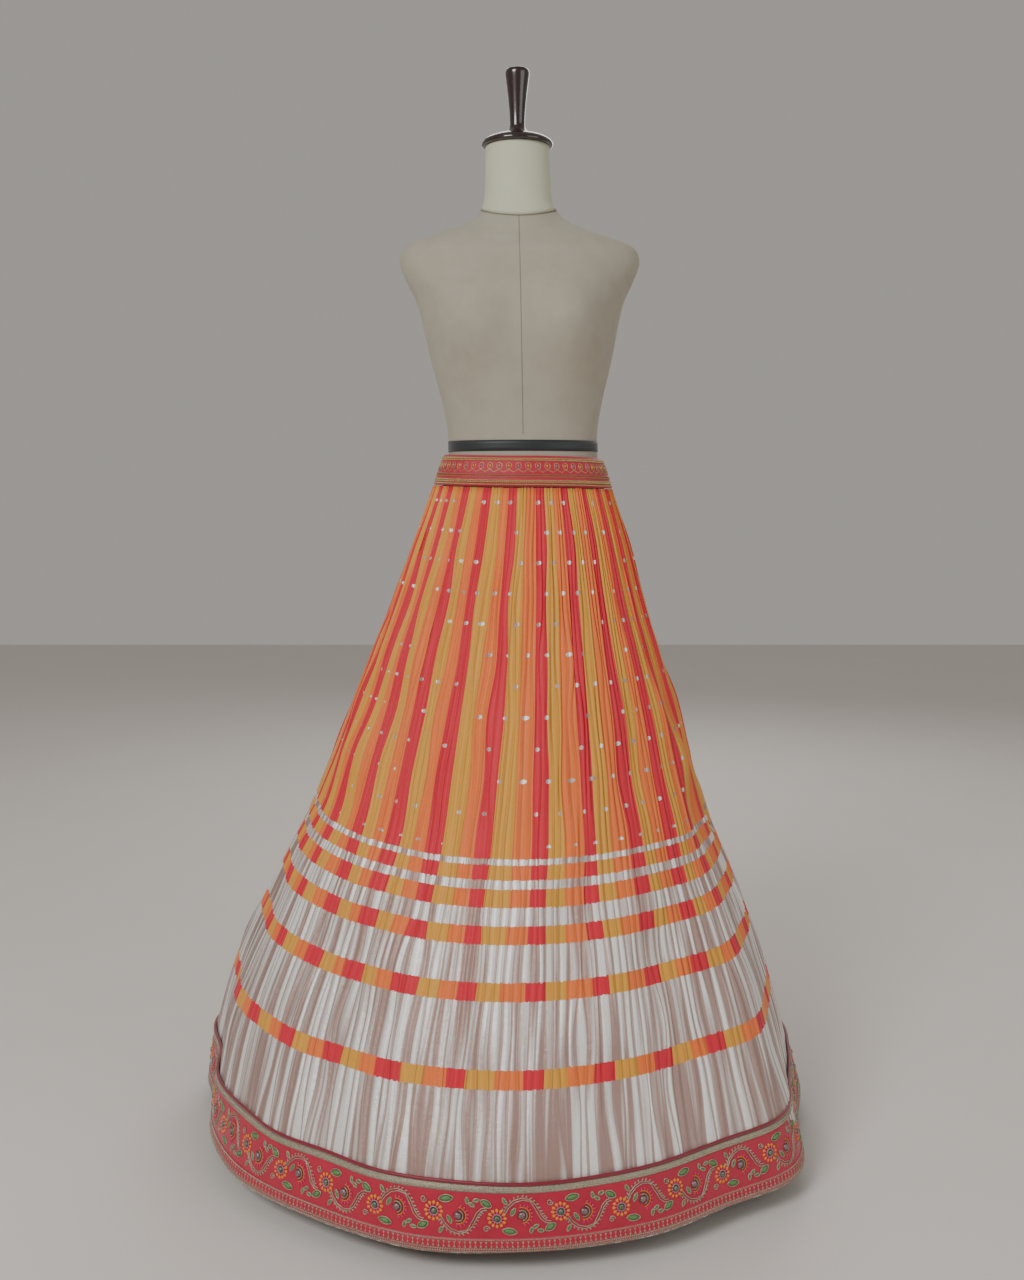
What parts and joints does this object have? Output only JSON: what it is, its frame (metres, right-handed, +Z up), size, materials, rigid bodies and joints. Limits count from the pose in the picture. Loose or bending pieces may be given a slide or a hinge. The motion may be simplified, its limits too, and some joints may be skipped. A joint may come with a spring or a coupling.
{
  "type": "lehenga skirt on a dress form",
  "caption": "Full-length gathered lehenga skirt with an embroidered waistband and hem border, standing on a limbless dress form with a pole and round base.",
  "frame": {"origin": "centre of the underside of the stand's round base, on the floor", "axes": "+Z up along the stand's pole; the skirt's front faces -Y; +X is the wearer's left"},
  "size_m": [0.9794, 0.9728, 1.6282],
  "materials": {
    "brocade": "striped crushed silk brocade with woven metallic rows",
    "border_silk": "red silk ground with raised embroidery",
    "piping_satin": "dark crimson satin cord piping",
    "silver_lace": "dull silver metallic cord lace",
    "gold_lace": "gold metallic cord and thread lace",
    "waist_canvas": "red silk over a stiff canvas band",
    "form_linen": "pale sage-cream covering cloth, plain weave",
    "waist_tape": "black-green woven tape",
    "dark_wood": "dark maroon-brown polished lacquer",
    "stand_steel": "dark grey satin powder coat"
  },
  "bodies": {
    "root": {"skirt_front": "brocade", "skirt_back": "brocade", "hem_border": "border_silk", "hem_piping": "piping_satin", "hem_lace_upper": "silver_lace", "hem_lace_lower": "silver_lace", "waistband": "waist_canvas", "waist_trim": "gold_lace", "form_body": "form_linen", "form_neck": "form_linen", "form_waist_tape": "waist_tape", "form_neck_cap": "dark_wood", "form_handle": "dark_wood", "stand_collar": "stand_steel", "stand_pole": "stand_steel", "stand_base": "stand_steel"}
  },
  "joints": []
}
